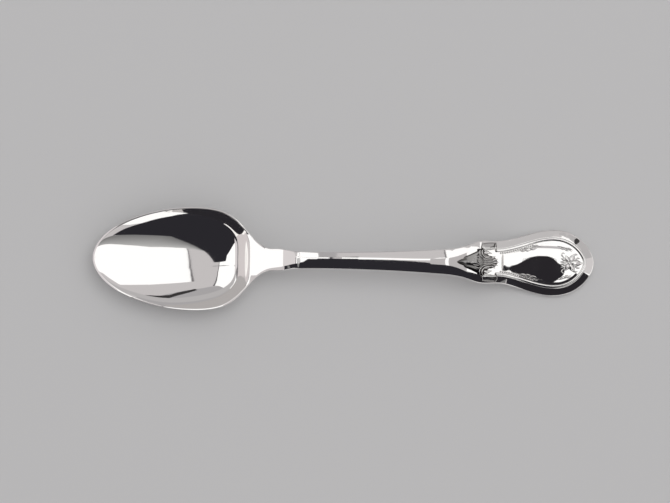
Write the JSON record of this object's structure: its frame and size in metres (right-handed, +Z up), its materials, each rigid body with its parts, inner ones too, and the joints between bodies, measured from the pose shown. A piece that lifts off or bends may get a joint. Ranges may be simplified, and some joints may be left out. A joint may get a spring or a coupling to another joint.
{
  "type": "teaspoon",
  "caption": "Teaspoon with an egg shaped bowl, bevelled stem and a broad handle end with a threaded rim, domed panel, beads and leaf relief.",
  "frame": {"origin": "centre of the spoon's outline, on the surface that it lies on", "axes": "+X from the tip of the bowl to the end of the handle, +Y across, +Z up out of the bowl"},
  "size_m": [0.14, 0.0288, 0.0111],
  "materials": {
    "polished_silver": "mirror polished silver plate",
    "relief_silver": "polished on the crests, darker in the cuts"
  },
  "bodies": {
    "root": {"bowl": "polished_silver", "neck": "polished_silver", "stem": "polished_silver", "handle_end": "polished_silver", "thread": "polished_silver", "panel": "polished_silver", "leaf_cap": "relief_silver", "scrolls": "relief_silver", "bead_rows": "relief_silver", "palmette": "relief_silver", "sprigs": "relief_silver"}
  },
  "joints": []
}
